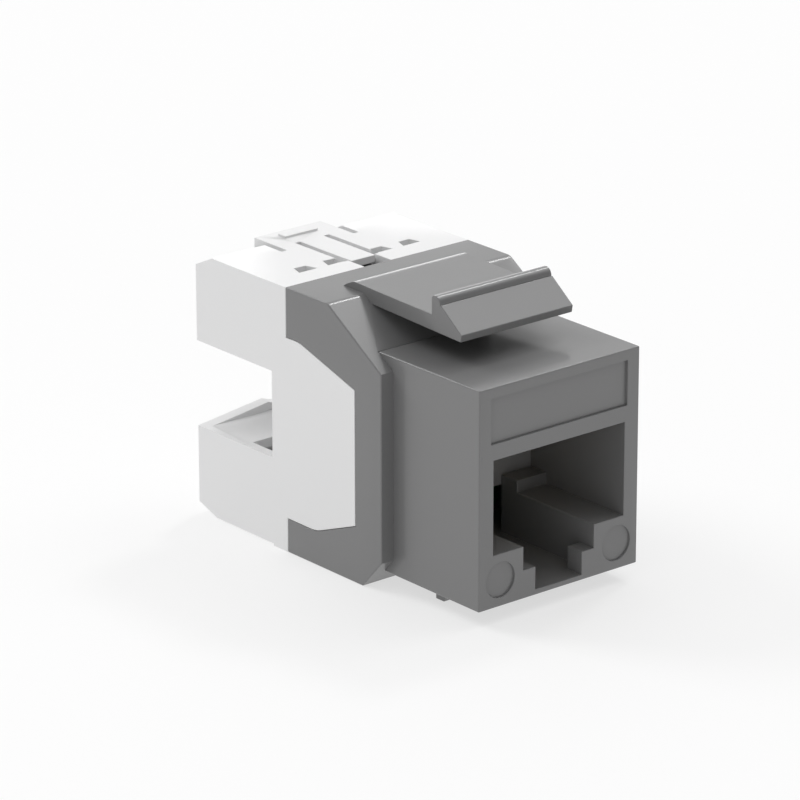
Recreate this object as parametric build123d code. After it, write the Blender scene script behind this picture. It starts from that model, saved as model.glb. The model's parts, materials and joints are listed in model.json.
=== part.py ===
from build123d import *
import os

# Keystone jack: a grey snap-in housing with a plug port in front and a white wire cap behind.
# Lengths are in millimetres. While it is drawn, Y runs back from the port's face, X is across the
# jack and Z = 0 is the underside of the front block. The last lines move the whole jack so that it
# stands on Z = 0 with its middle at the origin.

# Front block, the part that shows through the panel
front_width = 14.5
front_height = 16.0
front_back = 12.0
edge_round = 0.10
witness_width = 0.10
witness_depth = 0.06

# Plug port
port_width = 11.94
port_floor = 3.84
port_height = 6.89
port_depth = 9.80
slot_width = 6.46
slot_floor = 0.40
lip_depth = 1.50
lip_slot_width = 4.24
cheek_height = 1.69
stop_height = 0.86
stop_length = 1.70

# Label recess and the two round marks on the port's face
label_width = 12.35
label_floor = 11.90
label_height = 3.30
label_depth = 0.22
mark_radius = 1.30
mark_spacing = 10.60
mark_height = 1.95
mark_depth = 0.16

# Fixed lug under the front block, which hooks the panel's lower edge
lug_width = 11.78
lug_front = 5.26
lug_length = 0.85
lug_ramp = 0.65

# Shroud, the wide rear part of the housing
shroud_width = 16.70
shroud_top = 18.63
shroud_floor = -1.16
shroud_front = 9.04
shroud_end = 19.41
slope_foot = 14.96
slope_top = 14.84
slope_round = 0.9
heel_height = 1.10
heel_end = 11.13

# Tongue recess in each side of the shroud, drawn from front to rear
recess_front = 11.87
recess_low = 3.04
recess_high = 13.09
recess_rear_low = 1.37
recess_rear_high = 14.95
recess_low_turn = 16.22
recess_high_turn = 18.00
recess_round = 3.0

# Spigot, the collar behind the shroud that the wire cap slides over
spigot_end = 20.35

# Hollow of the housing behind the port
chamber_width = 13.0
front_chamber_top = 14.90
insert_corner = 0.30
insert_room_above = 0.20
insert_room_below = 0.30
rear_chamber_floor = -0.10
rear_chamber_top = 17.00

# Release latch, with its heights taken from the top of the shroud
latch_width = 10.10
root_start = 17.14
hump_rise = 0.59
hump_rear = 15.90
hump_front = 15.50
hump_crown = 0.06
plate_front_rise = 0.36
pivot_y = 13.95
hinge_lean = 0.80
hinge_gap = 0.04
ridge_rear = 7.61
ridge_rise = 1.77
ridge_round = 0.28
brow_front = 6.76
brow_drop = 0.32
brow_bulge = 0.11
nose_start = 6.70
nose_drop = 0.48
brow_groove = 0.06
tip_y = 4.46
tip_drop = 0.36
tip_thickness = 0.52
tip_set_back = 0.09

# Wire cap
cap_end = 29.70
cap_step = 0.03
cap_floor = -1.00
skirt_end = 21.05
cap_side_wall = 0.83
cap_top_wall = 0.90
lip_wall = 0.55
top_chamfer_start = 27.83
top_chamfer_drop = 0.88
low_chamfer_start = 27.66
low_chamfer_high = -0.30
gap_front = 21.10
gap_low = 5.55
gap_high = 12.00
jaw_plate = 0.75
jaw_rear_wall = 0.85
comb_rear = 22.0
well_rear = 24.40
cable_lip = 0.85
cable_lip_rise = 0.73
cable_lip_tilt = 0.09
cradle_half_width = 2.57
cradle_depth = 0.50

# Wire holes, in the jaws' outer plates and down through the combs
wire_pitch = 2.60
inner_wire_x = 2.15
hole_front = 21.38
hole_rear = 22.34
hole_front_width = 1.60
hole_rear_width = 1.00

# Rocker tab and tongue on top of the cap
tongue_front = 21.05
tongue_width = 2.14
slot_outer = 1.57
slot_front = 21.30
slot_rear = 26.90
rocker_pivot_y = 26.00
tab_width = 6.10
slit_width = 0.50
slit_front = 25.90
tongue_relief = 22.40
tongue_tip_height = 0.50
tab_drop = 0.45
rib_front = 28.05
rib_length = 0.85
rib_width = 3.00
rib_height = 0.17

# Catch on the spigot, under the tongue
catch_width = 2.20
catch_thickness = 0.50
catch_end = 22.10
catch_notch_front = 21.00
catch_notch_rear = 21.50
catch_notch_depth = 0.20
barb_depth = 0.05

# Contact carrier, contact wires and comb slots
contact_count = 8
contact_pitch = 1.02
wire_width = 0.45
wire_thickness = 0.30
bend_radius = 0.50
bend_y = 2.90
lead_height = 11.65
beam_angle = 22.0
beam_end = 10.40
carrier_rise = 0.11
carrier_room_above = 0.70
shelf_width = 8.50
shelf_front = 3.00
shelf_floor = 11.00
shelf_top = 12.20
bay_front = 2.00
comb_floor = 6.60
comb_top = 10.95
comb_depth = 1.50
comb_slot_width = 0.66
groove_width = 0.56
groove_gap = 0.03
spring_split = 0.04
lead_bend_start = 10.90
lead_bend_end = 12.30
upper_lead_height = 13.40
lead_tail = 0.30

# Circuit board
board_front = 13.70
board_thickness = 1.20
board_corner = 0.8
lead_hole_radius = 0.33
pin_hole_radius = 0.42

# Terminal block and wire contacts
relief_depth = 0.50
blade_width = 1.80
blade_thickness = 0.40
blade_start = 15.20
blade_end = 21.90
fork_start = 19.20
fork_slot = 0.34
fork_mouth = 0.90
fork_mouth_depth = 0.45
pin_width = 0.60
upper_blade_inset = 1.60
lower_blade_inset = 2.10
separator_width = 1.2
separator_depth = 1.0

# Clearances
seat_gap = 0.03
side_gap = 0.10
slide_gap = 0.10
tongue_gap = 0.04
blade_gap = 0.05
cap_blade_gap = 0.15

# Values that follow from the sizes above
slope_rise = (shroud_top - slope_foot) / (slope_top - shroud_front)
pivot_z = slope_foot + slope_rise * (pivot_y - shroud_front)
hump_top = shroud_top + hump_rise
plate_front_top = shroud_top + plate_front_rise
ridge_top = shroud_top + ridge_rise
brow_low = ridge_top - brow_drop
nose_top = ridge_top - nose_drop
groove_low = nose_top - 2 * brow_groove
tip_top = shroud_top - tip_drop
tip_low = tip_top - tip_thickness
nose_fall = (nose_top - tip_top) / (nose_start - tip_y)
witness_y = shroud_front + (front_height - slope_foot) / slope_rise
cap_top = shroud_top - cap_step
skirt_floor = shroud_floor
top_chamfer_low = cap_top - top_chamfer_drop
port_ceiling = port_floor + port_height
cheek_top = slot_floor + cheek_height
cap_front = shroud_end + seat_gap
cap_inner_half = shroud_width / 2 - cap_side_wall
spigot_half = cap_inner_half - side_gap
socket_top = cap_top - lip_wall
socket_floor = skirt_floor + lip_wall
spigot_top = socket_top - slide_gap
spigot_floor = socket_floor + slide_gap
socket_end = spigot_end + slide_gap
notch_width = catch_width + 2 * slide_gap
chamber_half = chamber_width / 2
insert_half = chamber_half - slide_gap
rear_chamber_front = board_front - slide_gap
insert_top = rear_chamber_top - insert_room_above
insert_floor = rear_chamber_floor + insert_room_below
upper_blade_height = insert_top - upper_blade_inset
lower_blade_height = insert_floor + lower_blade_inset
carrier_floor = port_floor + carrier_rise
carrier_top = front_chamber_top - carrier_room_above
carrier_front = port_depth + seat_gap
carrier_back = board_front - seat_gap
board_back = board_front + board_thickness
block_front = board_back + seat_gap
bend_z = lead_height - bend_radius
contact_span = contact_pitch * (contact_count - 1)
contact_places = [contact_pitch * i - contact_span / 2 for i in range(contact_count)]
wire_places = [-inner_wire_x - wire_pitch, -inner_wire_x, inner_wire_x, inner_wire_x + wire_pitch]
plate_floor = cap_top - cap_top_wall
overlap = 0.5
edge_match = 0.01


def block(x_low, x_high, y_low, y_high, z_low, z_high):
    """A box between two values on each axis."""
    middle = ((x_low + x_high) / 2, (y_low + y_high) / 2, (z_low + z_high) / 2)
    return Pos(*middle) * Box(x_high - x_low, y_high - y_low, z_high - z_low)


def centred(width, y_low, y_high, z_low, z_high):
    """A box that is centred across the jack."""
    return block(-width / 2, width / 2, y_low, y_high, z_low, z_high)


def side_face(points):
    """A flat outline in side view, from (y, z) points."""
    return Plane.YZ * make_face(Polyline(*points, close=True))


def across(face, width):
    """A side outline drawn out across the jack, half to each side."""
    return extrude(face, amount=width / 2, both=True)


def outer_profile():
    """The shroud in side view: flat top, long slope, upright shoulder and heel chamfer."""
    return side_face([
        (shroud_end, shroud_top),
        (slope_top, shroud_top),
        (shroud_front, slope_foot),
        (shroud_front, heel_height),
        (heel_end, shroud_floor),
        (shroud_end, shroud_floor),
    ])


def tongue_outline(rear):
    """The side tongue in side view, with its two soft turns, carried back to the given rear edge."""
    corners = [
        (recess_front, recess_low),
        (recess_low_turn, recess_rear_low),
        (rear, recess_rear_low),
        (rear, recess_rear_high),
        (recess_high_turn, recess_rear_high),
        (recess_front, recess_high),
    ]
    face = make_face(Polyline(*corners, close=True))
    turns = [v for v in face.vertices() if recess_front + overlap < v.X < rear - overlap]
    return fillet(turns, radius=recess_round)


def latch_outline():
    """The latch in side view: hump, plate, upright ridge with its rounded brow, sloping nose and tip."""
    ridge = Line((ridge_rear, plate_front_top), (ridge_rear, ridge_top - ridge_round))
    crown_y = ridge_rear - ridge_round
    crown = RadiusArc((ridge_rear, ridge_top - ridge_round), (crown_y, ridge_top), -ridge_round)
    brow = ThreePointArc(
        (crown_y, ridge_top),
        ((crown_y + brow_front) / 2 - brow_bulge / 2, (ridge_top + brow_low) / 2 + brow_bulge),
        (brow_front, brow_low),
    )
    nose = Polyline(
        (brow_front, brow_low),
        (nose_start, nose_top),
        (nose_start, groove_low),
        (nose_start - brow_groove, nose_top - brow_groove * nose_fall),
        (tip_y, tip_top),
        (tip_y + tip_set_back, tip_low),
        (pivot_y, pivot_z),
    )
    root = Polyline(
        (pivot_y, pivot_z),
        (pivot_y + overlap, pivot_z),
        (root_start, shroud_top),
    )
    hump = Spline(
        (root_start, shroud_top),
        ((root_start + hump_rear) / 2, (shroud_top + hump_top) / 2 + hump_crown),
        (hump_rear, hump_top),
    )
    plate = Polyline(
        (hump_rear, hump_top),
        (hump_front, hump_top),
        (ridge_rear, plate_front_top),
    )
    return Plane.YZ * make_face(ridge + crown + brow + nose + root + hump + plate)


def hinge_cut(shift):
    """Everything behind the line where the latch bends, moved back or forward by shift."""
    lean = hinge_lean / (hump_top - pivot_z)
    reach = 3.0
    return across(side_face([
        (pivot_y + shift - lean * reach, pivot_z - reach),
        (pivot_y + shift + lean * reach, pivot_z + reach),
        (root_start + reach, pivot_z + reach),
        (root_start + reach, pivot_z - reach),
    ]), shroud_width)


def make_release_latch():
    """The moving arm, from the hinge line to the tip."""
    return across(latch_outline(), latch_width) - hinge_cut(-hinge_gap)


def make_latch_root():
    """The stub that carries the arm, part of the housing moulding."""
    return across(latch_outline(), latch_width) & hinge_cut(0)


def make_housing():
    """The grey moulding: front block, shroud, spigot, port, chambers and latch root."""
    front = centred(front_width, 0, front_back, 0, front_height)
    face_edges = front.faces().sort_by(Axis.Y)[0].edges()
    long_edges = front.edges().filter_by(Axis.Y)
    front = fillet(face_edges + long_edges, radius=edge_round)

    shroud = across(outer_profile(), shroud_width)
    crest = [e for e in shroud.edges().filter_by(Axis.X)
             if abs(e.center().Y - slope_top) < edge_match and abs(e.center().Z - shroud_top) < edge_match]
    shroud = fillet(crest, radius=slope_round)
    side_edges = [e for e in shroud.edges() if abs(abs(e.center().X) - shroud_width / 2) < edge_match]
    rims = [e for e in side_edges if e.center().Y < shroud_end - edge_match]
    shroud = fillet(rims, radius=edge_round)

    spigot = block(-spigot_half, spigot_half, shroud_end - overlap, spigot_end, spigot_floor, spigot_top)
    catch = centred(catch_width, spigot_end - overlap, catch_end, spigot_top - catch_thickness, spigot_top)
    catch_edge = catch.edges().filter_by(Axis.X).sort_by(Axis.Y)[-2:].sort_by(Axis.Z)[-1]
    catch = chamfer(catch_edge, length=catch_thickness / 2)
    notch_floor = spigot_top - catch_notch_depth
    catch -= centred(catch_width, catch_notch_front, catch_notch_rear, notch_floor, spigot_top)
    lug = across(side_face([
        (lug_front - lug_ramp, edge_round),
        (lug_front, shroud_floor),
        (lug_front + lug_length, shroud_floor),
        (lug_front + lug_length, edge_round),
    ]), lug_width)
    housing = front + shroud + spigot + catch + lug + make_latch_root()

    # Witness line where the block's top meets the slope
    witness_low = front_height - witness_depth
    housing -= centred(front_width, witness_y - witness_width, witness_y, witness_low, front_height + overlap)

    # Side cut-outs for the cap's tongues
    for side in (-1, 1):
        outline = Plane.YZ * tongue_outline(spigot_end + overlap)
        depth = shroud_width / 2 - spigot_half
        cutter = extrude(outline, amount=depth + overlap)
        housing -= Pos((spigot_half if side > 0 else -shroud_width / 2 - overlap), 0, 0) * cutter

    # Port, plug stops and the slot for the plug's clip
    housing -= centred(port_width, -overlap, port_depth - stop_length, port_floor, port_ceiling)
    housing -= centred(port_width, -overlap, port_depth + overlap, port_floor + stop_height, port_ceiling)
    housing -= centred(slot_width, lip_depth, port_depth + overlap, slot_floor, port_ceiling)
    housing -= centred(slot_width, -overlap, lip_depth + overlap, cheek_top, port_ceiling)
    housing -= centred(lip_slot_width, -overlap, lip_depth + overlap, slot_floor, port_ceiling)

    # Bay over the port for the carrier's shelf
    bay_width = shelf_width + 2 * slide_gap
    bay_top = shelf_top + slide_gap
    housing -= centred(bay_width, bay_front, port_depth + overlap, port_ceiling - overlap, bay_top)

    # Chambers behind the port
    past_end = spigot_end + overlap
    housing -= centred(chamber_width, port_depth, past_end, slot_floor, front_chamber_top)
    housing -= centred(chamber_width, rear_chamber_front, past_end, rear_chamber_floor, rear_chamber_top)

    # Label recess and round marks
    housing -= centred(label_width, -overlap, label_depth, label_floor, label_floor + label_height)
    for side in (-1, 1):
        mark = Cylinder(mark_radius, 2 * mark_depth, rotation=(90, 0, 0))
        housing -= Pos(side * mark_spacing / 2, 0, mark_height) * mark
    return housing


def flat_wire(path):
    """A flat wire that follows a side-view path."""
    strip = Plane.YZ * trace(path, line_width=wire_thickness)
    return extrude(strip, amount=wire_width / 2, both=True)


def make_plug_contact(x):
    """The sprung end of a contact wire: a bend round the shelf's nose, then the sloping beam."""
    bend = CenterArc((bend_y, bend_z), bend_radius, 90, 180 - beam_angle)
    start = bend @ 1
    run = beam_end - start.X
    beam = Line((start.X, start.Y), (beam_end, start.Y - run * tan_degrees(beam_angle)))
    return Pos(x, 0, 0) * flat_wire(bend + beam)


def tan_degrees(angle):
    """Tangent of an angle in degrees."""
    direction = Vector(1, 0, 0).rotate(Axis.Z, angle)
    return direction.Y / direction.X


def make_contact_lead(x, index):
    """The fixed run of a contact wire, to one of the two rows of holes in the board."""
    end = board_back + lead_tail
    start = bend_y + spring_split
    if index % 2:
        path = Polyline(
            (start, lead_height),
            (lead_bend_start, lead_height),
            (lead_bend_end, upper_lead_height),
            (end, upper_lead_height),
        )
    else:
        path = Line((start, lead_height), (end, lead_height))
    return Pos(x, 0, 0) * flat_wire(path)


def make_contact_carrier():
    """The insert behind the port: comb face, shelf and grooves for the wires."""
    body = block(-insert_half, insert_half, carrier_front, carrier_back, carrier_floor, carrier_top)
    body = chamfer(body.edges().filter_by(Axis.Y), length=insert_corner)
    carrier = body + centred(shelf_width, shelf_front, carrier_front + overlap, shelf_floor, shelf_top)
    groove_floor = lead_height - wire_thickness / 2 - groove_gap
    for x in contact_places:
        groove = centred(groove_width, 0, board_front, groove_floor, carrier_top + overlap)
        comb_slot = centred(comb_slot_width, 0, carrier_front + comb_depth, comb_floor, comb_top)
        carrier -= Pos(x, 0, 0) * groove
        carrier -= Pos(x, 0, 0) * comb_slot
    return carrier


def make_circuit_board():
    """The upright board with its two rows of lead holes and the holes for the wire contacts."""
    board = block(-insert_half, insert_half, board_front, board_back, insert_floor, insert_top)
    board = chamfer(board.edges().filter_by(Axis.Y), length=board_corner)
    for index, x in enumerate(contact_places):
        height = upper_lead_height if index % 2 else lead_height
        hole = Cylinder(lead_hole_radius, 3 * board_thickness, rotation=(90, 0, 0))
        board -= Pos(x, board_front, height) * hole
    for height in (lower_blade_height, upper_blade_height):
        for x in wire_places:
            hole = Cylinder(pin_hole_radius, 3 * board_thickness, rotation=(90, 0, 0))
            board -= Pos(x, board_front, height) * hole
    return board


def make_terminal_block():
    """The insert that carries the wire contacts, with a rear groove for the cable's separator."""
    body = block(-insert_half, insert_half, block_front, spigot_end, insert_floor, insert_top)
    body = chamfer(body.edges().filter_by(Axis.Y), length=insert_corner)
    relief_width = contact_span + 2 * wire_width
    relief_low = lead_height - wire_width
    relief_high = upper_lead_height + wire_width
    body -= centred(relief_width, block_front - overlap, block_front + relief_depth, relief_low, relief_high)
    half_slot = blade_width / 2 + blade_gap
    half_rise = blade_thickness / 2 + blade_gap
    for height in (lower_blade_height, upper_blade_height):
        for x in wire_places:
            body -= block(x - half_slot, x + half_slot, block_front - overlap, spigot_end + overlap,
                          height - half_rise, height + half_rise)
    middle = (gap_low + gap_high) / 2
    groove_front = spigot_end - separator_depth
    groove_low = middle - separator_width / 2
    groove_high = middle + separator_width / 2
    body -= centred(separator_width, groove_front, spigot_end + overlap, gap_low, gap_high)
    body -= centred(chamber_width, groove_front, spigot_end + overlap, groove_low, groove_high)
    return body


def make_wire_contact(x, height):
    """A forked contact: a pin into the board, a flat blade and two tines open to the rear."""
    blade = Pos(0, (blade_start + blade_end) / 2) * Rectangle(blade_width, blade_end - blade_start)
    pin_length = blade_start - board_front - seat_gap
    pin = Pos(0, board_front + seat_gap + pin_length / 2) * Rectangle(pin_width, pin_length)
    slot = Pos(0, (fork_start + blade_end) / 2) * Rectangle(fork_slot, blade_end - fork_start)
    mouth = make_face(Polyline(
        (-fork_mouth / 2, blade_end),
        (0, blade_end - fork_mouth_depth * fork_mouth / (fork_mouth - fork_slot)),
        (fork_mouth / 2, blade_end),
        close=True,
    ))
    outline = blade + pin - slot - mouth
    return Pos(x, 0, height - blade_thickness / 2) * extrude(outline, amount=blade_thickness)


def jaw_outline():
    """The wire cap in side view, without its tongues."""
    return side_face([
        (cap_front, cap_top),
        (top_chamfer_start, cap_top),
        (cap_end, top_chamfer_low),
        (cap_end, low_chamfer_high),
        (low_chamfer_start, cap_floor),
        (skirt_end, cap_floor),
        (skirt_end, skirt_floor),
        (cap_front, skirt_floor),
    ])


def cable_lip_solid(direction, level):
    """The raised rear lip of a jaw, which climbs to a shallow cradle for the cable."""
    half = shroud_width / 2
    rise = direction * cable_lip_rise
    low = level - direction * jaw_plate
    bank_left = Polyline((-half, low), (-half, level), (-cradle_half_width, level + rise))
    cradle = ThreePointArc(
        (-cradle_half_width, level + rise),
        (0, level + rise - direction * cradle_depth),
        (cradle_half_width, level + rise),
    )
    bank_right = Polyline((cradle_half_width, level + rise), (half, level), (half, low), (-half, low))
    profile = Plane.XZ * make_face(bank_left + cradle + bank_right)
    lip = extrude(profile, amount=cable_lip, dir=(0, -1, -direction * cable_lip_tilt))
    return Pos(0, cap_end, 0) * lip


def wire_hole(x):
    """A wire hole in plan view: wide in front, narrow behind."""
    return make_face(Polyline(
        (x - hole_front_width / 2, hole_front),
        (x + hole_front_width / 2, hole_front),
        (x + hole_rear_width / 2, hole_rear),
        (x - hole_rear_width / 2, hole_rear),
        close=True,
    ))


def mirrored(x_low, x_high, y_low, y_high, z_low, z_high):
    """A box and its mirror image on the other side of the jack."""
    right = block(x_low, x_high, y_low, y_high, z_low, z_high)
    return right + block(-x_high, -x_low, y_low, y_high, z_low, z_high)


def make_cap_release():
    """The rocker: pressing its rear tab lifts the tongue off the catch."""
    tongue = centred(tongue_width, tongue_front, slot_rear, plate_floor, cap_top)
    tab = centred(tab_width, rocker_pivot_y + hinge_gap, cap_end, plate_floor, cap_top)
    rocker = tongue + tab
    below = plate_floor - overlap
    above = cap_top + overlap
    rocker -= mirrored(tongue_width / 2, slot_outer, slot_front, slot_rear, below, above)
    tip_floor = cap_top - tongue_tip_height
    rocker -= centred(tongue_width, tongue_front, tongue_relief, plate_floor, tip_floor)
    barb_floor = tip_floor - barb_depth
    rocker += centred(tongue_width, tongue_front, catch_notch_rear - slide_gap, barb_floor, cap_top)
    rocker += centred(rib_width, rib_front, rib_front + rib_length, plate_floor, cap_top + rib_height)
    return rocker


def make_wire_cap():
    """The white cap: socket for the spigot, side tongues, two hollow jaws and their combs."""
    cap = across(jaw_outline(), shroud_width)
    cap -= centred(shroud_width + 2 * overlap, gap_front, cap_end + overlap, gap_low, gap_high)
    cap -= centred(2 * cap_inner_half, cap_front - overlap, socket_end, socket_floor, socket_top)

    # Side tongues that reach forward along the shroud
    outline = offset(tongue_outline(socket_end + overlap), amount=-tongue_gap)
    outline &= Pos((recess_front + cap_front) / 2, (recess_low + recess_high) / 2) * Rectangle(
        cap_front - recess_front + 2 * tongue_gap, shroud_top * 2)
    tongue = extrude(Plane.YZ * outline, amount=cap_side_wall)
    cap += Pos(cap_inner_half, 0, 0) * tongue
    cap += Pos(-shroud_width / 2, 0, 0) * tongue

    # Hollow jaws with an open well behind each comb
    jaw_end = cap_end - jaw_rear_wall
    wall = cap_top_wall
    inner = 2 * cap_inner_half
    cap -= centred(inner, comb_rear, jaw_end, gap_high + jaw_plate, plate_floor)
    cap -= centred(inner, comb_rear, jaw_end - wall, cap_floor + wall, gap_low - jaw_plate)
    cap -= centred(inner, comb_rear, well_rear, gap_high - overlap, gap_high + 2 * jaw_plate)
    cap -= centred(inner, comb_rear, well_rear, gap_low - 2 * jaw_plate, gap_low + overlap)

    # Lips that hold the cable
    cap += cable_lip_solid(1, gap_low)
    cap += cable_lip_solid(-1, gap_high)

    # Wire holes and the slots that the forked contacts enter
    half_slot = blade_width / 2 + cap_blade_gap
    half_rise = blade_thickness / 2 + cap_blade_gap
    upper_rise = cap_top - gap_high
    lower_rise = gap_low - skirt_floor
    for x in wire_places:
        hole = wire_hole(x)
        cap -= extrude(Plane.XY.offset(gap_high - overlap) * hole, amount=upper_rise + 2 * overlap)
        cap -= extrude(Plane.XY.offset(skirt_floor - overlap) * hole, amount=lower_rise + 2 * overlap)
        for height in (lower_blade_height, upper_blade_height):
            cap -= block(x - half_slot, x + half_slot, socket_end - overlap, comb_rear + overlap,
                         height - half_rise, height + half_rise)

    # Opening for the rocker, the notch in front of it and room for the catch below
    above = cap_top + overlap
    below = plate_floor - overlap
    tab_half = tab_width / 2
    clear_half = tab_half + slit_width
    cap -= centred(notch_width, cap_front - overlap, slot_front, below, above)
    cap -= centred(2 * slot_outer, slot_front, rocker_pivot_y, below, above)
    cap -= centred(tab_width, rocker_pivot_y, cap_end + overlap, below, above)
    cap -= mirrored(tab_half, clear_half, slit_front, cap_end + overlap, below, above)
    catch_floor = spigot_top - catch_thickness - slide_gap
    cap -= centred(notch_width, socket_end - overlap, catch_end + overlap, catch_floor, plate_floor)
    cap -= centred(2 * clear_half, jaw_end - overlap, cap_end + overlap, plate_floor - tab_drop, above)
    return cap


place = Pos(0, -cap_end / 2, -shroud_floor)
os.makedirs("parts", exist_ok=True)

parts = {
    "housing": make_housing(),
    "release_latch": make_release_latch(),
    "contact_carrier": make_contact_carrier(),
    "circuit_board": make_circuit_board(),
    "terminal_block": make_terminal_block(),
    "wire_cap": make_wire_cap(),
    "cap_release": make_cap_release(),
}
for index, x in enumerate(contact_places):
    parts[f"plug_contact_{index + 1}"] = make_plug_contact(x)
    parts[f"contact_lead_{index + 1}"] = make_contact_lead(x, index)
wire_rows = [(x, height) for height in (upper_blade_height, lower_blade_height) for x in wire_places]
for index, (x, height) in enumerate(wire_rows):
    parts[f"wire_contact_{index + 1}"] = make_wire_contact(x, height)

for name, solid in parts.items():
    export_step(place * solid, f"parts/{name}.step")
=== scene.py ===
import json
import math

import bmesh
import bpy
from bpy.props import FloatProperty, FloatVectorProperty, IntProperty, PointerProperty
from bpy.types import Operator, Panel, PropertyGroup
from mathutils import Euler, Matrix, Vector

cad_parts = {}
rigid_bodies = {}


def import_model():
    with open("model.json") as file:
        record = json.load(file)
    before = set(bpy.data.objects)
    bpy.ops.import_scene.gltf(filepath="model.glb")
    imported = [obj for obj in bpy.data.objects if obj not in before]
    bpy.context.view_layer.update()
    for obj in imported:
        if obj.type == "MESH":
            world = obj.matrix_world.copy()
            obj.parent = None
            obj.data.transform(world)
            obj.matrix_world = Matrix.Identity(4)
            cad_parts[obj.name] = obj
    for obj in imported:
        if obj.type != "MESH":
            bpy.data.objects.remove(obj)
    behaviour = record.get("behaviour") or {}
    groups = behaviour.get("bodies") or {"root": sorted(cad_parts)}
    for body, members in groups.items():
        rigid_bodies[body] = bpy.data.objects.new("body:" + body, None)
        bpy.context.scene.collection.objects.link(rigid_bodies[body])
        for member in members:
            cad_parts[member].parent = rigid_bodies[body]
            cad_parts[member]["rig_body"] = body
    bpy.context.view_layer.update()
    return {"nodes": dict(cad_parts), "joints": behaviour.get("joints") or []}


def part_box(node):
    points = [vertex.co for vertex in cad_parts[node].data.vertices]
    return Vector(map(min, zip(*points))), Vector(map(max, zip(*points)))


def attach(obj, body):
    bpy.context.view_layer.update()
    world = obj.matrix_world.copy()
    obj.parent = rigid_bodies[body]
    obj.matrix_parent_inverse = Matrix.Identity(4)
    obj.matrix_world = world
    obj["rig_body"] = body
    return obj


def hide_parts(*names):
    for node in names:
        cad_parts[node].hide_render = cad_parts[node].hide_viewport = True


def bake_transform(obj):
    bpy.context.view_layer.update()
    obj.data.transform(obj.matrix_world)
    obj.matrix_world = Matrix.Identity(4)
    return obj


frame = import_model()

bl_info = {
    "name": "Keystone jack",
    "version": (1, 0, 0),
    "blender": (4, 5, 0),
    "location": "View3D > Sidebar > Keystone jack",
    "description": "Dresses the keystone jack with moulded edges, finishes and a pale studio",
    "category": "Object",
}

# One millimetre, in the frame's metres
MM = 0.001
# Points closer than this are one point
SAME = 2e-6
# Faces that turn by less than this are one flat face
FLAT = math.radians(0.4)
# Edges that turn by more than this are corners of the moulding
CORNER = math.radians(28)
# Faces whose normal has more than this along +Y look rearward
REARWARD = 0.5
# Points this close to a bending line are on the seam there
SEAM_REACH = 0.02 * MM
# How far below the latch's foot its seam may lie
ROOT_DROP = 0.1 * MM
# Points this close to the rocker's pivot line are on its webs
WEB_REACH = 0.01 * MM
# Widest clearance that a bending piece closes up at its root
ROOT_GAP = 0.06 * MM
# How far the floor lies below the jack's underside
FLOOR_DROP = 5 * SAME
# Faces across the rounds of inserts and wires
FINE_STEPS = 2

# Noise and band sizes, in waves per metre
CLOUD_WAVES = 210.0
FLOW_WAVES = 900.0
GRAIN_WAVES = 9000.0
PIT_WAVES = 21000.0
ROLLING_WAVES = 14000.0
TARNISH_WAVES = 700.0
WEAVE_WAVES = 700.0
MOTTLE_WAVES = 1500.0
TABLE_WAVES = 40.0
# Depths of the rolling lines and of the glass weave, in metres
ROLLING_DEPTH = 0.0000015
WEAVE_DEPTH = 0.000004

# Where the camera stands, in metres, and how it is turned, in degrees
CAMERA_PLACE = (-0.20660, -0.24636, 0.12673)
CAMERA_TURN = (70.170, 0.080, -39.762)
# Width of the camera's sensor, in millimetres
SENSOR_WIDTH = 36.0

WHITE = (1.0, 1.0, 1.0, 1.0)
# How strongly plastic and its skin bend light, and how dull the skin is
PLASTIC_IOR = 1.5
SKIN_ROUGHNESS = 0.13

JOINTS = {joint["name"]: joint for joint in frame["joints"]}


# Settings

class MouldingSettings(PropertyGroup):
    """How softly the plastic parts' edges are rounded."""

    housing_round: FloatProperty(
        name="Housing edge", description="Rounding of the grey housing's corners",
        default=0.04 * MM, min=0.0, max=0.3 * MM, unit="LENGTH", precision=5)
    latch_round: FloatProperty(
        name="Latch edge", description="Rounding of the release latch's corners",
        default=0.05 * MM, min=0.0, max=0.3 * MM, unit="LENGTH", precision=5)
    cap_round: FloatProperty(
        name="Cap edge", description="Rounding of the white wire cap's corners",
        default=0.04 * MM, min=0.0, max=0.2 * MM, unit="LENGTH", precision=5)
    insert_round: FloatProperty(
        name="Insert edge", description="Rounding of the inserts' corners",
        default=0.03 * MM, min=0.0, max=0.2 * MM, unit="LENGTH", precision=5)
    wire_round: FloatProperty(
        name="Wire edge", description="Rounding of the flat wires and blades",
        default=0.05 * MM, min=0.0, max=0.14 * MM, unit="LENGTH", precision=5)
    round_steps: IntProperty(
        name="Steps", description="Faces across each rounded edge", default=3, min=1, max=6)
    bend_length: FloatProperty(
        name="Bend length", description="Length over which the latch bends at its root",
        default=1.4 * MM, min=0.4 * MM, max=3.0 * MM, unit="LENGTH", precision=5)
    bend_steps: IntProperty(
        name="Bend steps", description="Cuts across the part of the latch that bends",
        default=7, min=2, max=16)


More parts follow.
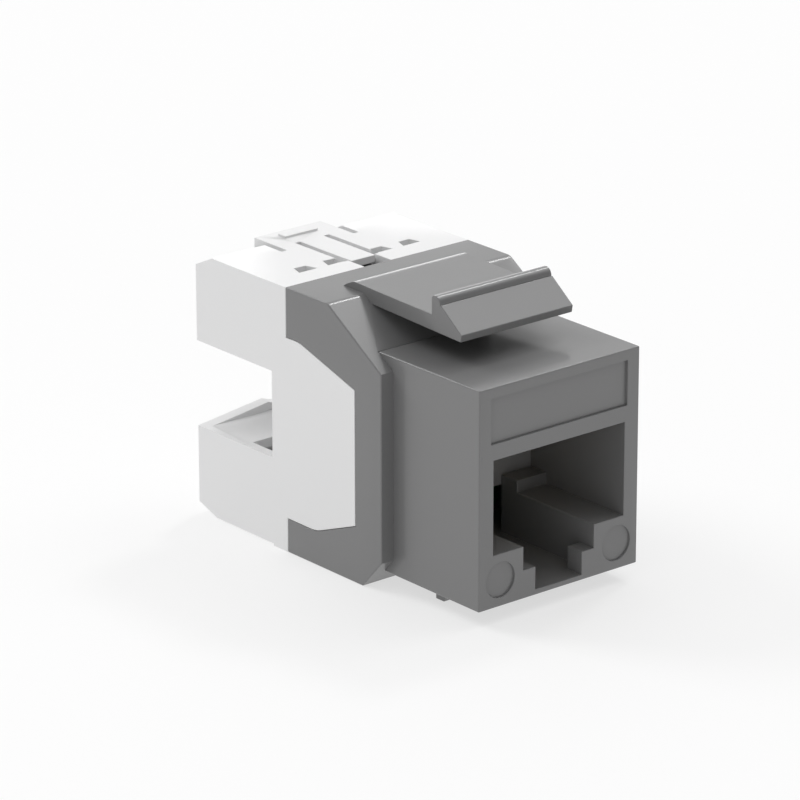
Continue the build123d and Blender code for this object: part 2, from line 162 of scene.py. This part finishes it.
class FinishSettings(PropertyGroup):
    """Colours of the jack's materials."""

    housing_colour: FloatVectorProperty(
        name="Housing", description="Colour of the grey moulding and its latch",
        default=(0.182, 0.182, 0.183), size=3, subtype="COLOR", min=0.0, max=1.0)
    insert_colour: FloatVectorProperty(
        name="Inserts", description="Colour of the carrier and the terminal block",
        default=(0.270, 0.270, 0.272), size=3, subtype="COLOR", min=0.0, max=1.0)
    cap_colour: FloatVectorProperty(
        name="Wire cap", description="Colour of the white cap and its rocker",
        default=(0.825, 0.825, 0.827), size=3, subtype="COLOR", min=0.0, max=1.0)
    board_colour: FloatVectorProperty(
        name="Board", description="Colour of the circuit board's lacquer",
        default=(0.020, 0.160, 0.060), size=3, subtype="COLOR", min=0.0, max=1.0)
    gold_colour: FloatVectorProperty(
        name="Gold plating", description="Colour of the contact wires",
        default=(0.880, 0.640, 0.300), size=3, subtype="COLOR", min=0.0, max=1.0)
    tin_colour: FloatVectorProperty(
        name="Tin plating", description="Colour of the forked wire contacts",
        default=(0.740, 0.730, 0.710), size=3, subtype="COLOR", min=0.0, max=1.0)


class StudioSettings(PropertyGroup):
    """The floor, the light and the camera."""

    floor_size: FloatProperty(
        name="Floor", description="Width of the square floor",
        default=6.0, min=0.5, max=20.0, unit="LENGTH")
    floor_colour: FloatVectorProperty(
        name="Floor colour", description="Colour of the pale floor",
        default=(0.34, 0.34, 0.34), size=3, subtype="COLOR", min=0.0, max=1.0)
    floor_glow: FloatProperty(
        name="Floor glow", description="Light that the lit table gives of its own",
        default=0.612, min=0.0, max=2.0)
    overhead: FloatProperty(
        name="Overhead", description="Brightness of the broad light overhead",
        default=0.41, min=0.0, max=20.0)
    high_left_box: FloatProperty(
        name="High left box", description="Brightness of the softbox above on the left",
        default=1.05, min=0.0, max=20.0)
    high_right_box: FloatProperty(
        name="High right box", description="Brightness of the softbox above on the right",
        default=2.8, min=0.0, max=20.0)
    rear_right_box: FloatProperty(
        name="Rear right box", description="Brightness of the narrow softbox behind on the right",
        default=0.85, min=0.0, max=20.0)
    rear_panel: FloatProperty(
        name="Rear panel", description="Brightness of the broad panel behind the jack",
        default=0.66, min=0.0, max=20.0)
    horizon_strip: FloatProperty(
        name="Horizon strip", description="Brightness of the low strip behind the jack",
        default=3.7, min=0.0, max=20.0)
    left_panel: FloatProperty(
        name="Left panel", description="Brightness of the panel on the left",
        default=0.50, min=0.0, max=20.0)
    front_left_panel: FloatProperty(
        name="Front left panel", description="Brightness of the panel beside the camera",
        default=0.47, min=0.0, max=20.0)
    high_front_panel: FloatProperty(
        name="High front panel", description="Brightness of the panel above the port",
        default=0.36, min=0.0, max=20.0)
    right_lamp: FloatProperty(
        name="Right lamp", description="Strength of the lamp high on the right",
        default=0.45, min=0.0, max=20.0)
    rim_lamp: FloatProperty(
        name="Rim lamp", description="Strength of the lamp behind on the left",
        default=0.85, min=0.0, max=20.0)
    camera_lens: FloatProperty(
        name="Lens", description="Focal length on a 36 mm sensor",
        default=218.5, min=10.0, max=1000.0, unit="CAMERA")


# Shader building

class Signal:
    """One output of a shader node, which can be added, multiplied and so on as a number is."""

    def __init__(self, sheet, socket):
        self.sheet = sheet
        self.socket = socket

    def maths(self, operation, first, second):
        """Adds a Math node on two values."""
        return self.sheet.node("ShaderNodeMath", {"operation": operation}, {0: first, 1: second})

    def __add__(self, other):
        return self.maths("ADD", self, other)

    def __radd__(self, other):
        return self.maths("ADD", other, self)

    def __sub__(self, other):
        return self.maths("SUBTRACT", self, other)

    def __rsub__(self, other):
        return self.maths("SUBTRACT", other, self)

    def __mul__(self, other):
        return self.maths("MULTIPLY", self, other)

    def __rmul__(self, other):
        return self.maths("MULTIPLY", other, self)

    def __pow__(self, other):
        return self.maths("POWER", self, other)

    def __rpow__(self, other):
        return self.maths("POWER", other, self)


class NodeSheet:
    """A node tree that is filled from Python expressions."""

    def __init__(self, tree):
        self.tree = tree
        tree.nodes.clear()

    def node(self, kind, settings=None, inputs=None, output=0):
        """Adds one node: its settings first, then its sockets' values or links."""
        made = self.tree.nodes.new(kind)
        for key, value in (settings or {}).items():
            setattr(made, key, value)
        for key, value in (inputs or {}).items():
            if isinstance(value, Signal):
                self.tree.links.new(value.socket, made.inputs[key])
            else:
                made.inputs[key].default_value = value
        if not made.outputs:
            return made
        return Signal(self, made.outputs[output])

    def blend_colours(self, factor, low, high):
        """Mixes two colours by a factor: a Mix node's sockets 6 and 7, and its output 2."""
        return self.node("ShaderNodeMix", {"data_type": "RGBA"}, {0: factor, 6: low, 7: high}, 2)

    def soft_panel(self, direction, centre, sharpness):
        """A soft patch of light in the sky: 1 at its centre, and 0 a quarter turn away."""
        facing = self.node("ShaderNodeVectorMath", {"operation": "DOT_PRODUCT"}, {
            0: direction, 1: Vector(centre).normalized()}, "Value")
        return facing.maths("MAXIMUM", facing, 0.0) ** sharpness

    def noise(self, place, scale, detail=2.0, roughness=0.5):
        """A noise value between 0 and 1, with its scale in waves per metre."""
        return self.node("ShaderNodeTexNoise", None, {
            "Vector": place, "Scale": scale, "Detail": detail, "Roughness": roughness}, "Fac")


def finish_name(slot):
    """The name of a slot's dressed material, apart from the frame's plain one."""
    return slot + "_finish"


def new_material(name):
    """An empty node material and the sheet that fills it."""
    material = bpy.data.materials.new(name)
    material.use_nodes = True
    return material, NodeSheet(material.node_tree)


def close_material(sheet, inputs):
    """Ends a material in one Principled shader."""
    shader = sheet.node("ShaderNodeBsdfPrincipled", None, inputs)
    sheet.node("ShaderNodeOutputMaterial", None, {"Surface": shader})


def tinted(colour, amount):
    """A colour made lighter or darker, as four values."""
    return tuple(min(1.0, channel * amount) for channel in colour) + (1.0,)


def moulded_plastic(slot, colour, roughness, variation, grain_depth, shine=0.5, sheen=0.0):
    """Moulded plastic: a fine spark-eroded grain, faint clouds in its tone and a skin's sheen."""
    sheet = new_material(finish_name(slot))[1]
    place = sheet.node("ShaderNodeTexCoord", output="Object")
    clouds = sheet.noise(place, CLOUD_WAVES, detail=3.0)
    flow = sheet.noise(place, FLOW_WAVES)
    grain = sheet.noise(place, GRAIN_WAVES, roughness=0.6)
    pits = sheet.noise(place, PIT_WAVES, detail=1.0)
    tone = clouds * 0.65 + flow * 0.35
    base = sheet.blend_colours(tone, tinted(colour, 1 - variation), tinted(colour, 1 + variation))
    gloss = roughness + (clouds - 0.5) * 0.08 + (grain - 0.5) * 0.05
    height = grain * 0.7 + pits * 0.3
    relief = sheet.node("ShaderNodeBump", None, {
        "Strength": 1.0, "Distance": grain_depth, "Height": height}, "Normal")
    close_material(sheet, {
        "Base Color": base, "Roughness": gloss, "Normal": relief,
        "IOR": PLASTIC_IOR, "Specular IOR Level": shine,
        "Coat Weight": sheen, "Coat Roughness": SKIN_ROUGHNESS, "Coat IOR": PLASTIC_IOR})


def plated_metal(slot, colour, roughness, variation):
    """Plated metal strip, with faint rolling lines along it and a little tarnish."""
    sheet = new_material(finish_name(slot))[1]
    place = sheet.node("ShaderNodeTexCoord", output="Object")
    stretched = sheet.node("ShaderNodeMapping", None, {
        "Vector": place, "Scale": (1.0, 0.06, 1.0)})
    lines = sheet.noise(stretched, ROLLING_WAVES)
    tarnish = sheet.noise(place, TARNISH_WAVES, detail=3.0)
    base = sheet.blend_colours(
        tarnish, tinted(colour, 1 - variation), tinted(colour, 1 + variation))
    gloss = roughness + (lines - 0.5) * 0.14 + (tarnish - 0.5) * 0.08
    relief = sheet.node("ShaderNodeBump", None, {
        "Strength": 1.0, "Distance": ROLLING_DEPTH, "Height": lines}, "Normal")
    close_material(sheet, {
        "Base Color": base, "Roughness": gloss, "Normal": relief, "Metallic": 1.0})


def lacquered_board(slot, colour):
    """Green lacquered laminate: the glass weave shows faintly through the gloss."""
    sheet = new_material(finish_name(slot))[1]
    place = sheet.node("ShaderNodeTexCoord", output="Object")
    weave_across = sheet.node("ShaderNodeTexWave", {"bands_direction": "X"}, {
        "Vector": place, "Scale": WEAVE_WAVES, "Distortion": 0.6}, "Fac")
    weave_up = sheet.node("ShaderNodeTexWave", {"bands_direction": "Z"}, {
        "Vector": place, "Scale": WEAVE_WAVES, "Distortion": 0.6}, "Fac")
    weave = weave_across * weave_up
    mottle = sheet.noise(place, MOTTLE_WAVES, detail=3.0)
    base = sheet.blend_colours(
        weave * 0.5 + mottle * 0.5, tinted(colour, 0.75), tinted(colour, 1.3))
    relief = sheet.node("ShaderNodeBump", None, {
        "Strength": 0.6, "Distance": WEAVE_DEPTH, "Height": weave}, "Normal")
    close_material(sheet, {
        "Base Color": base, "Roughness": 0.28 + mottle * 0.1, "Normal": relief})


# Mesh building

def node_shape(node):
    """A node's surface with its triangles merged into flat faces, ready to be worked on."""
    shape = bmesh.new()
    shape.from_mesh(frame["nodes"][node].data)
    bmesh.ops.remove_doubles(shape, verts=shape.verts, dist=SAME)
    bmesh.ops.dissolve_limit(shape, angle_limit=FLAT, verts=shape.verts, edges=shape.edges)
    return shape


def mark_corners(shape, skip=None):
    """Marks the outer corners that get rounded, and leaves the inner ones and any seam sharp."""
    weight = shape.edges.layers.float.new("bevel_weight_edge")
    for edge in shape.edges:
        edge.smooth = True
        if len(edge.link_faces) != 2:
            continue
        if edge.calc_face_angle() < CORNER:
            continue
        edge.smooth = False
        if edge.is_convex and not (skip and skip(edge)):
            edge[weight] = 1.0


def finished_piece(name, shape, width, steps, material):
    """Turns a worked shape into a piece with rounded corners and clean shading."""
    for face in shape.faces:
        face.smooth = True
    mesh = bpy.data.meshes.new(name)
    shape.to_mesh(mesh)
    shape.free()
    mesh.materials.append(material)
    piece = bpy.data.objects.new(name, mesh)
    bpy.context.scene.collection.objects.link(piece)
    shading = piece.modifiers.new("Flat faces stay flat", "WEIGHTED_NORMAL")
    shading.keep_sharp = True
    shading.weight = 100
    rounding = piece.modifiers.new("Rounded corners", "BEVEL")
    rounding.limit_method = "WEIGHT"
    rounding.width = width
    rounding.segments = steps
    rounding.use_clamp_overlap = False
    rounding.miter_outer = "MITER_ARC"
    rounding.harden_normals = True
    return piece


def dressed_node(node, name, width, steps, material, skip=None):
    """A node's own shape as a finished piece that rides on the node's body and replaces it."""
    shape = node_shape(node)
    mark_corners(shape, skip)
    stand_in(finished_piece(name, shape, width, steps, material), node)


def stand_in(piece, node):
    """Rides on the node's body and replaces the node."""
    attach(piece, frame["nodes"][node]["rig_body"])
    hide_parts(node)


def finish_named(slot):
    """The dressed material made earlier for a slot."""
    return bpy.data.materials[finish_name(slot)]


def hinge_line():
    """The latch's bending line, and the direction across the bend, forward and up."""
    shape = node_shape("release_latch")
    rearward = [face for face in shape.faces if face.normal.y > REARWARD]
    rear = max(rearward, key=lambda face: face.calc_center_median().y)
    normal = rear.normal.copy()
    shape.free()
    return Vector(JOINTS["latch_press"]["pos_m"]), -normal


# Operators

class JACK_OT_finishes(Operator):
    """Make the jack's materials"""

    bl_idname = "jack.finishes"
    bl_label = "Finishes"

    def execute(self, context):
        colours = context.scene.jack_finish
        moulded_plastic("grey_plastic", colours.housing_colour, roughness=0.38, variation=0.02,
                        grain_depth=0.000001, shine=0.365, sheen=0.45)
        moulded_plastic("insert_plastic", colours.insert_colour, roughness=0.50, variation=0.04,
                        grain_depth=0.000003)
        moulded_plastic("white_plastic", colours.cap_colour, roughness=0.36, variation=0.008,
                        grain_depth=0.000001, shine=0.2)
        lacquered_board("board", colours.board_colour)
        plated_metal("gold_wire", colours.gold_colour, roughness=0.24, variation=0.08)
        plated_metal("plated_blade", colours.tin_colour, roughness=0.34, variation=0.06)
        return {"FINISHED"}


class JACK_OT_housing(Operator):
    """Build the grey housing with its port, label recess and latch root"""

    bl_idname = "jack.housing"
    bl_label = "Housing"

    def execute(self, context):
        moulding = context.scene.jack_moulding
        foot, across_bend = hinge_line()

        def on_seam(edge):
            """True on the face where the latch arm continues the root."""
            return all(abs((v.co - foot).dot(across_bend)) < SEAM_REACH
                       and v.co.z > foot.z - ROOT_DROP for v in edge.verts)

        dressed_node("housing", "housing_shell", moulding.housing_round, moulding.round_steps,
                     finish_named("grey_plastic"), on_seam)
        return {"FINISHED"}


class JACK_OT_latch(Operator):
    """Build the release latch as one arm that runs on from the housing, cut across where it bends
    """

    bl_idname = "jack.latch"
    bl_label = "Release latch"

    def execute(self, context):
        moulding = context.scene.jack_moulding
        foot, across_bend = hinge_line()
        shape = node_shape("release_latch")

        # The arm's rear face closes up to the root, so that no seam shows
        for vert in shape.verts:
            distance = (vert.co - foot).dot(across_bend)
            if distance < ROOT_GAP:
                vert.co.y += distance / -across_bend.y
        for step in range(1, moulding.bend_steps + 1):
            point = foot + across_bend * (moulding.bend_length * step / moulding.bend_steps)
            parts = shape.verts[:] + shape.edges[:] + shape.faces[:]
            bmesh.ops.bisect_plane(
                shape, geom=parts, dist=SAME, plane_co=point, plane_no=across_bend)

        def on_seam(edge):
            """True on the arm's rear face."""
            return all(abs((v.co - foot).dot(across_bend)) < SEAM_REACH for v in edge.verts)

        mark_corners(shape, on_seam)
        arm = finished_piece("latch_arm", shape, moulding.latch_round, moulding.round_steps,
                             finish_named("grey_plastic"))
        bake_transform(arm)
        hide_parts("release_latch")
        return {"FINISHED"}


class JACK_OT_wire_cap(Operator):
    """Build the white wire cap and its rocker tab"""

    bl_idname = "jack.wire_cap"
    bl_label = "Wire cap"

    def execute(self, context):
        moulding = context.scene.jack_moulding
        pivot = Vector(JOINTS["rocker_press"]["pos_m"])
        _, rocker_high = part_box("cap_release")
        tab_half = rocker_high.x

        def on_web(edge):
            """True where the rocker's two webs meet the cap."""
            return all(abs(v.co.y - pivot.y) < WEB_REACH and abs(v.co.x) < tab_half + SAME
                       and v.co.z > pivot.z - SAME for v in edge.verts)

        dressed_node("wire_cap", "cap_shell", moulding.cap_round, moulding.round_steps,
                     finish_named("white_plastic"), on_web)

        shape = node_shape("cap_release")
        for vert in shape.verts:
            if 0 < vert.co.y - pivot.y < ROOT_GAP:
                vert.co.y = pivot.y
        mark_corners(shape, on_web)
        rocker = finished_piece("rocker_tab", shape, moulding.cap_round, moulding.round_steps,
                                finish_named("white_plastic"))
        stand_in(rocker, "cap_release")
        return {"FINISHED"}


class JACK_OT_inserts(Operator):
    """Build the contact carrier, the circuit board and the terminal block"""

    bl_idname = "jack.inserts"
    bl_label = "Inserts"

    def execute(self, context):
        moulding = context.scene.jack_moulding
        for node, name, slot in (
            ("contact_carrier", "carrier_comb", "insert_plastic"),
            ("circuit_board", "board_blank", "board"),
            ("terminal_block", "terminal_body", "insert_plastic"),
        ):
            dressed_node(node, name, moulding.insert_round, FINE_STEPS, finish_named(slot))
        return {"FINISHED"}


class JACK_OT_contacts(Operator):
    """Build the gold contact wires and the forked wire contacts"""

    bl_idname = "jack.contacts"
    bl_label = "Contacts"

    def execute(self, context):
        moulding = context.scene.jack_moulding
        for node in sorted(frame["nodes"]):
            for prefix, made, slot in (
                ("plug_contact_", "spring_wire_", "gold_wire"),
                ("contact_lead_", "lead_wire_", "gold_wire"),
                ("wire_contact_", "forked_blade_", "plated_blade"),
            ):
                if node.startswith(prefix):
                    dressed_node(node, node.replace(prefix, made), moulding.wire_round, FINE_STEPS,
                                 finish_named(slot))
        return {"FINISHED"}


class JACK_OT_studio(Operator):
    """Set up the pale floor, the soft light and the camera"""

    bl_idname = "jack.studio"
    bl_label = "Studio"

    def execute(self, context):
        studio = context.scene.jack_studio
        scene = context.scene

        material, sheet = new_material("pale_floor")
        place = sheet.node("ShaderNodeTexCoord", output="Object")
        mottle = sheet.noise(place, TABLE_WAVES, detail=3.0)
        close_material(sheet, {
            "Base Color": sheet.blend_colours(
                mottle, tinted(studio.floor_colour, 0.995), tinted(studio.floor_colour, 1.005)),
            "Roughness": 0.9, "Specular IOR Level": 0.2,
            "Emission Color": WHITE, "Emission Strength": studio.floor_glow})
        half = studio.floor_size / 2
        mesh = bpy.data.meshes.new("floor")
        corners = [(x, y, -FLOOR_DROP) for x, y in (
            (-half, -half), (half, -half), (half, half), (-half, half))]
        mesh.from_pydata(corners, [], [(0, 1, 2, 3)])
        mesh.materials.append(material)
        floor = bpy.data.objects.new("floor", mesh)
        scene.collection.objects.link(floor)

        world = bpy.data.worlds.new("studio_sky")
        world.use_nodes = True
        scene.world = world
        sky = NodeSheet(world.node_tree)
        direction = sky.node("ShaderNodeTexCoord", output="Generated")
        glow = 0.0
        for centre, sharpness, brightness in (
            ((0.0, 0.0, 1.0), 3.0, studio.overhead),
            ((-0.25, 0.25, 0.93), 12.0, studio.high_left_box),
            ((0.6, -0.13, 0.78), 24.0, studio.high_right_box),
            ((0.62, 0.58, 0.53), 40.0, studio.rear_right_box),
            ((0.3, 0.9, 0.3), 3.0, studio.rear_panel),
            ((0.6, 0.8, 0.05), 160.0, studio.horizon_strip),
            ((-1.0, 0.0, 0.15), 4.0, studio.left_panel),
            ((-0.6, -0.75, 0.3), 4.0, studio.front_left_panel),
            ((0.25, -0.55, 0.8), 6.0, studio.high_front_panel),
        ):
            glow = glow + sky.soft_panel(direction, centre, sharpness) * brightness
        light = sky.node("ShaderNodeBackground", None, {"Color": WHITE, "Strength": glow})
        sky.node("ShaderNodeOutputWorld", None, {"Surface": light})

        for name, strength, spread, towards in (
            ("right_lamp", studio.right_lamp, 10.0, (0.60, 0.21, 0.77)),
            ("rim_lamp", studio.rim_lamp, 22.0, (-0.34, 0.72, 0.60)),
        ):
            lamp = bpy.data.lights.new(name, "SUN")
            lamp.energy = strength
            lamp.angle = math.radians(spread)
            sun = bpy.data.objects.new(name, lamp)
            sun.rotation_euler = Vector(towards).to_track_quat("Z", "Y").to_euler()
            scene.collection.objects.link(sun)

        lens = bpy.data.cameras.new("camera")
        lens.sensor_width = SENSOR_WIDTH
        lens.lens = studio.camera_lens
        lens.clip_start = 0.01
        camera = bpy.data.objects.new("camera", lens)
        camera.location = CAMERA_PLACE
        camera.rotation_euler = Euler([math.radians(angle) for angle in CAMERA_TURN])
        scene.collection.objects.link(camera)
        scene.camera = camera
        scene.view_settings.view_transform = "Standard"
        return {"FINISHED"}


class JACK_PT_sidebar(Panel):
    """The jack's settings and steps in the sidebar"""

    bl_idname = "JACK_PT_sidebar"
    bl_label = "Keystone jack"
    bl_space_type = "VIEW_3D"
    bl_region_type = "UI"
    bl_category = "Keystone jack"

    def draw(self, context):
        layout = self.layout
        for group in SETTINGS:
            settings = getattr(context.scene, group)
            column = layout.column(align=True)
            for name in type(settings).__annotations__:
                column.prop(settings, name)
        for step in STEPS:
            layout.operator(step.bl_idname)


STEPS = (
    JACK_OT_finishes,
    JACK_OT_housing,
    JACK_OT_latch,
    JACK_OT_wire_cap,
    JACK_OT_inserts,
    JACK_OT_contacts,
    JACK_OT_studio,
)
SETTINGS = {
    "jack_moulding": MouldingSettings,
    "jack_finish": FinishSettings,
    "jack_studio": StudioSettings,
}


def register():
    """Adds the settings, the operators and the panel."""
    for name, kind in SETTINGS.items():
        bpy.utils.register_class(kind)
        setattr(bpy.types.Scene, name, PointerProperty(type=kind))
    for kind in STEPS + (JACK_PT_sidebar,):
        bpy.utils.register_class(kind)


def unregister():
    """Takes them away again."""
    for kind in (JACK_PT_sidebar,) + STEPS[::-1]:
        bpy.utils.unregister_class(kind)
    for name, kind in SETTINGS.items():
        delattr(bpy.types.Scene, name)
        bpy.utils.unregister_class(kind)


def main():
    """Builds the whole jack and its studio."""
    register()
    for step in STEPS:
        group, name = step.bl_idname.split(".")
        getattr(getattr(bpy.ops, group), name)()


if __name__ == "__main__":
    main()
